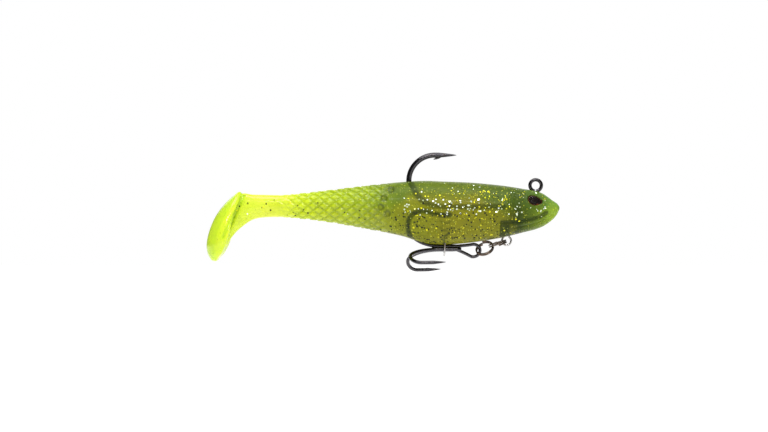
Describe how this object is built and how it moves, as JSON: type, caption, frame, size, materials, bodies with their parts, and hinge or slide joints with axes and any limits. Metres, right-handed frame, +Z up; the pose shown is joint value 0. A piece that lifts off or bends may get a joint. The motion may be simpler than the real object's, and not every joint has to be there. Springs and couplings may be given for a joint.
{
  "type": "swimbait",
  "caption": "Soft paddle-tail fishing lure with a weighted jig hook through its back and a treble hook hung on split rings under its belly.",
  "frame": {"origin": "centre of the line-tie ring on top of the head, where the lure hangs from its line", "axes": "+X to the nose, +Z up through the back, +Y to the fish's left side"},
  "size_m": [0.1269, 0.0235, 0.0431],
  "materials": {
    "olive_plastisol": "gloss",
    "yellow_green_plastisol": "gloss",
    "chartreuse_plastisol": "gloss",
    "lead": "satin",
    "black_nickel": "gloss",
    "bright_nickel": "gloss",
    "eye_foil": "gloss",
    "eye_resin": "gloss"
  },
  "bodies": {
    "front": {"body_front": "olive_plastisol", "lead_head": "lead", "jig_hook": "black_nickel", "belly_eyelet": "bright_nickel", "keeper_screw": "bright_nickel", "eye_foil_left": "eye_foil", "eye_foil_right": "eye_foil", "eye_lens_left": "eye_resin", "eye_lens_right": "eye_resin"},
    "rear": {"body_rear": "yellow_green_plastisol"},
    "tail": {"tail": "chartreuse_plastisol"},
    "front_ring": {"front_split_ring": "black_nickel"},
    "rear_ring": {"rear_split_ring": "black_nickel"},
    "treble": {"treble_double_hook": "black_nickel", "treble_single_hook": "black_nickel"}
  },
  "joints": [
    {"name": "body_flex", "type": "hinge", "parent": "front", "child": "rear", "pos_m": [-0.0565, 0, -0.00825], "axis": [0, 0, 1], "range_deg": [-20, 20], "stiffness_Nm_per_rad": 0.01},
    {"name": "tail_flex", "type": "hinge", "parent": "rear", "child": "tail", "pos_m": [-0.09, 0, -0.00825], "axis": [0, 0, 1], "range_deg": [-35, 35], "stiffness_Nm_per_rad": 0.004},
    {"name": "front_ring_swing", "type": "hinge", "parent": "front", "child": "front_ring", "pos_m": [-0.01075, 0, -0.0199], "axis": [0.0518, -0.9889, 0.1392], "range_deg": [0, 60]},
    {"name": "rear_ring_swing", "type": "hinge", "parent": "front_ring", "child": "rear_ring", "pos_m": [-0.01663, 0, -0.02205], "axis": [0.0518, -0.9889, 0.1392], "range_deg": [0, 20]},
    {"name": "treble_swing", "type": "hinge", "parent": "rear_ring", "child": "treble", "pos_m": [-0.02129, 0, -0.02376], "axis": [0.0518, -0.9889, 0.1392], "range_deg": [0, 40]}
  ]
}
